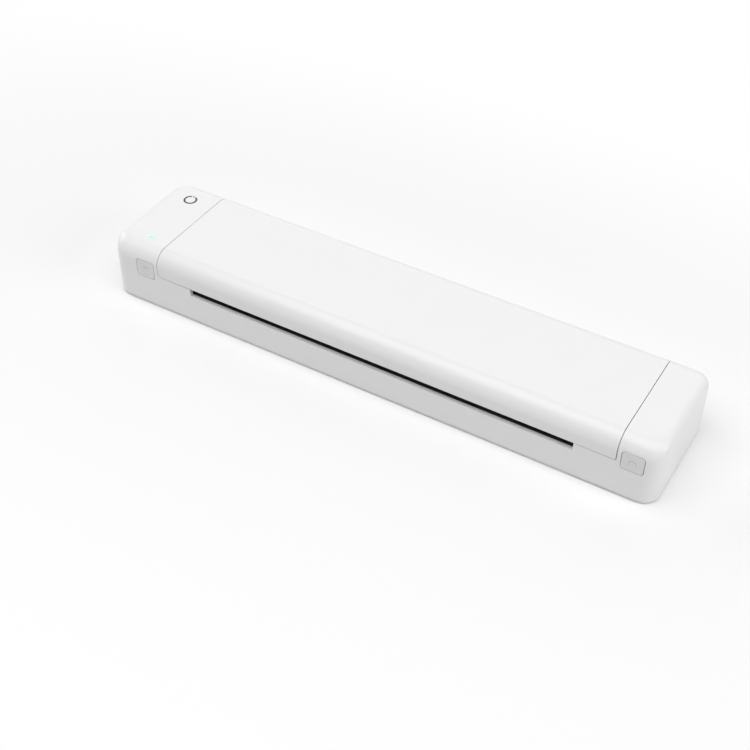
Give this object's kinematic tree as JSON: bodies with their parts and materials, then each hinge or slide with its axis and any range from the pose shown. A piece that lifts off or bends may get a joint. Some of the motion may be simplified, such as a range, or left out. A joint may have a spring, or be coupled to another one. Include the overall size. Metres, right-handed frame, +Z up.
{
  "type": "portable thermal printer",
  "caption": "Slim bar-shaped portable thermal printer for A4 sheets: rear-hinged rounded cover with a sprung print head over a geared roller, paper slot and two release buttons.",
  "frame": {"origin": "middle of the footprint, on the surface that the feet stand on", "axes": "+X along the bar to its right end, +Y to the rear where the cover is hinged, +Z up; the paper slot and the release buttons face -Y"},
  "size_m": [0.318, 0.068, 0.036],
  "materials": {
    "case_white": "satin moulded, fine texture",
    "button_white": "satin moulded",
    "foot_rubber": "matte",
    "mark_grey": "satin print",
    "light_green": "clear moulded, tinted",
    "inner_dark": "matte moulded",
    "screw_steel": "zinc plated",
    "pin_steel": "ground",
    "spring_steel": "drawn wire",
    "bushing_plastic": "satin",
    "bracket_steel": "zinc plated sheet",
    "motor_can": "plated can",
    "gear_plastic": "satin natural",
    "pinion_brass": "machined",
    "roller_rubber": "ground matte",
    "board_green": "solder mask",
    "chip_black": "moulded",
    "socket_steel": "stamped shell",
    "battery_wrap": "shrink film",
    "wire_red": "satin",
    "ribbon_white": "satin",
    "flex_amber": "film",
    "pad_foam": "matte",
    "sink_aluminium": "extruded",
    "ceramic_white": "glazed"
  },
  "bodies": {
    "base": {"housing": "case_white", "bottom_cover": "case_white", "case_screws": "screw_steel", "rubber_feet": "foot_rubber", "paper_deck": "inner_dark", "deck_screws": "screw_steel", "hinge_pins": "pin_steel", "platen_bushings": "bushing_plastic", "gear_bracket": "bracket_steel", "bracket_screws": "screw_steel", "stepper_motor": "motor_can", "motor_screws": "screw_steel", "gear_axle": "pin_steel", "main_board": "board_green", "board_components": "chip_black", "board_screws": "screw_steel", "usb_socket": "socket_steel", "battery_pack": "battery_wrap", "battery_cable": "wire_red", "motor_cable": "ribbon_white", "touch_cable": "flex_amber", "touch_board": "board_green", "touch_pad": "pad_foam", "touch_board_screws": "screw_steel", "power_mark": "mark_grey", "status_light_pipe": "light_green", "paper_sensor": "chip_black", "cover_sensor": "chip_black", "release_spring_left": "spring_steel", "release_spring_right": "spring_steel", "head_cable_lower": "flex_amber"},
    "cover": {"top_cover": "case_white", "cover_frame": "inner_dark", "frame_screws": "screw_steel", "head_springs": "spring_steel", "head_cable_upper": "flex_amber"},
    "head": {"head_heat_sink": "sink_aluminium", "head_substrate": "ceramic_white", "head_driver_cover": "chip_black", "head_pivot_pins": "pin_steel"},
    "platen": {"platen_shaft": "pin_steel", "platen_sleeve": "roller_rubber", "platen_gear": "gear_plastic"},
    "compound": {"compound_gear": "gear_plastic"},
    "rotor": {"motor_shaft": "pin_steel", "motor_pinion": "pinion_brass"},
    "release_left": {"release_button_left": "button_white"},
    "release_right": {"release_button_right": "button_white"}
  },
  "joints": [
    {"name": "cover_hinge", "type": "hinge", "parent": "base", "child": "cover", "pos_m": [0, 0.028, 0.027], "axis": [-1, 0, 0], "range_deg": [0, 100], "deforming": ["head_cable_lower"]},
    {"name": "head_rock", "type": "hinge", "parent": "cover", "child": "head", "pos_m": [0, 0.009, 0.024], "axis": [-1, 0, 0], "range_deg": [0, 2.5], "stiffness_Nm_per_rad": 1.5, "deforming": ["head_springs"]},
    {"name": "platen_spin", "type": "hinge", "parent": "base", "child": "platen", "pos_m": [0, -0.004, 0.0135], "axis": [1, 0, 0], "continuous": true},
    {"name": "compound_spin", "type": "hinge", "parent": "base", "child": "compound", "pos_m": [0, 0.00728, 0.0176], "axis": [1, 0, 0], "continuous": true},
    {"name": "motor_spin", "type": "hinge", "parent": "base", "child": "rotor", "pos_m": [0, 0.0208, 0.01398], "axis": [1, 0, 0], "continuous": true},
    {"name": "release_left_slide", "type": "slide", "parent": "base", "child": "release_left", "axis": [0, 1, 0], "range_m": [0, 0.002], "stiffness_N_per_m": 400, "deforming": ["release_spring_left"]},
    {"name": "release_right_slide", "type": "slide", "parent": "base", "child": "release_right", "axis": [0, 1, 0], "range_m": [0, 0.002], "stiffness_N_per_m": 400, "deforming": ["release_spring_right"]}
  ],
  "couplings": [
    {"joint": "compound_spin", "follows": "platen_spin", "ratio": -2},
    {"joint": "motor_spin", "follows": "platen_spin", "ratio": 6}
  ]
}
